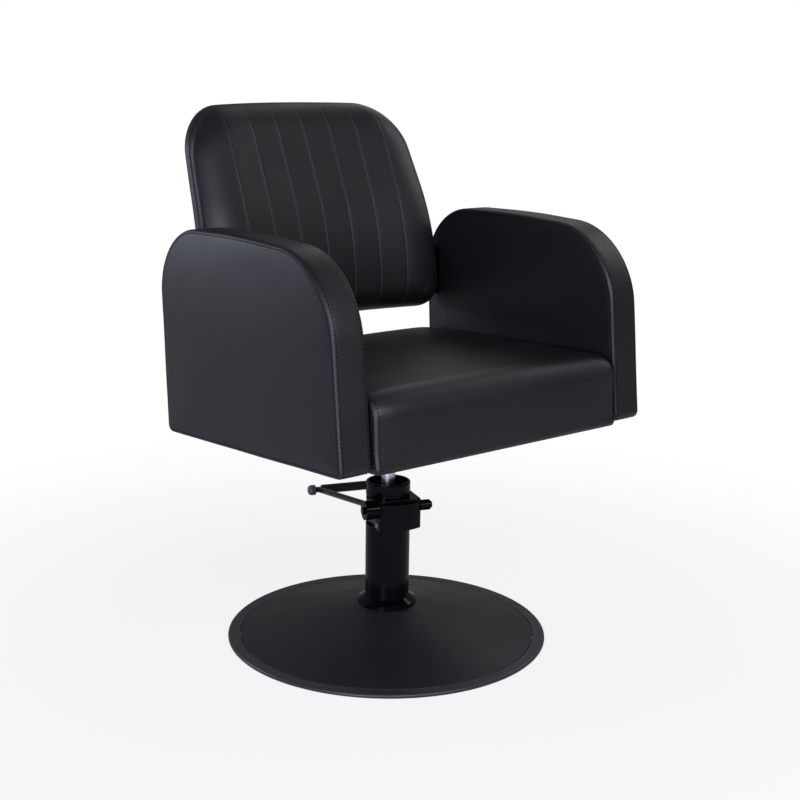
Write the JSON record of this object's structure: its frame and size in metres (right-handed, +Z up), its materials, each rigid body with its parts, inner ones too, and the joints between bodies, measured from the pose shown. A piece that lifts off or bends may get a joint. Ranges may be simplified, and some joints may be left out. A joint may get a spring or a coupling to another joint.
{
  "type": "hairdressing chair",
  "caption": "Padded hairdressing armchair with a curved back, on a hydraulic column that lifts and turns, a foot pump pedal and a round floor plate.",
  "frame": {"origin": "point on the floor, on the axis of the column", "axes": "+Z up along the column, -Y towards the front of the seat, +X to the right seen from the front"},
  "size_m": [0.6714, 0.6407, 0.9473],
  "materials": {
    "leatherette": "satin, fine grain",
    "gloss_black": "gloss",
    "base_paint": "satin",
    "trim_paint": "satin",
    "zinc_steel": "zinc plated",
    "bright_steel": "ground",
    "chrome": "polished",
    "rubber": "matte",
    "knob_plastic": "satin",
    "wood": "raw plywood and pine",
    "black_cloth": "matte non-woven"
  },
  "bodies": {
    "base": {"base_plate": "zinc_steel", "grip_ring": "rubber", "trim_ring": "trim_paint", "base_cover": "base_paint", "foot_collar": "gloss_black", "column_tube": "gloss_black", "foot_bolts": "zinc_steel", "pressure_cylinder": "bright_steel", "pump_head": "gloss_black", "valve_screw": "zinc_steel", "plunger_spring": "bright_steel", "top_cap": "gloss_black", "wiper_ring": "rubber"},
    "lift": {"piston": "bright_steel", "piston_seal": "rubber"},
    "seat": {"piston_rod": "chrome", "seat_bracket": "gloss_black", "bracket_bolts": "zinc_steel", "seat_frame": "wood", "seat_board": "wood", "dust_cover": "black_cloth", "seat_cushion": "leatherette", "right_arm_core": "wood", "right_arm_band": "leatherette", "right_arm_outer_pad": "leatherette", "right_arm_inner_pad": "leatherette", "left_arm_core": "wood", "left_arm_band": "leatherette", "left_arm_outer_pad": "leatherette", "left_arm_inner_pad": "leatherette", "arm_bolts": "zinc_steel", "back_board": "wood", "back_cushion": "leatherette", "back_rear_panel": "leatherette", "right_back_bracket": "gloss_black", "left_back_bracket": "gloss_black", "back_bolts": "zinc_steel", "back_spacers": "gloss_black"},
    "pedal": {"pump_axle": "gloss_black", "pedal_frame": "gloss_black", "pedal_sleeve": "rubber", "pedal_knobs": "knob_plastic", "hub_screws": "gloss_black"},
    "plunger": {"plunger": "bright_steel"}
  },
  "joints": [
    {"name": "lift_slide", "type": "slide", "parent": "base", "child": "lift", "axis": [0, 0, 1], "range_m": [-0.045, 0.09]},
    {"name": "seat_swivel", "type": "hinge", "parent": "lift", "child": "seat", "pos_m": [0, 0, 0], "axis": [0, 0, 1], "continuous": true},
    {"name": "pedal_hinge", "type": "hinge", "parent": "base", "child": "pedal", "pos_m": [-0.01335, -0.03877, 0.2525], "axis": [-0.9455, 0.3256, 0], "range_deg": [0, 22], "stiffness_Nm_per_rad": 8, "springref_deg": -34.38},
    {"name": "plunger_slide", "type": "slide", "parent": "base", "child": "plunger", "axis": [0, 0, -1], "range_m": [0, 0.0058], "stiffness_N_per_m": 500, "springref_m": -0.01, "deforming": ["plunger_spring"]}
  ],
  "couplings": [
    {"joint": "plunger_slide", "follows": "pedal_hinge", "m_per_rad": 0.015035}
  ]
}
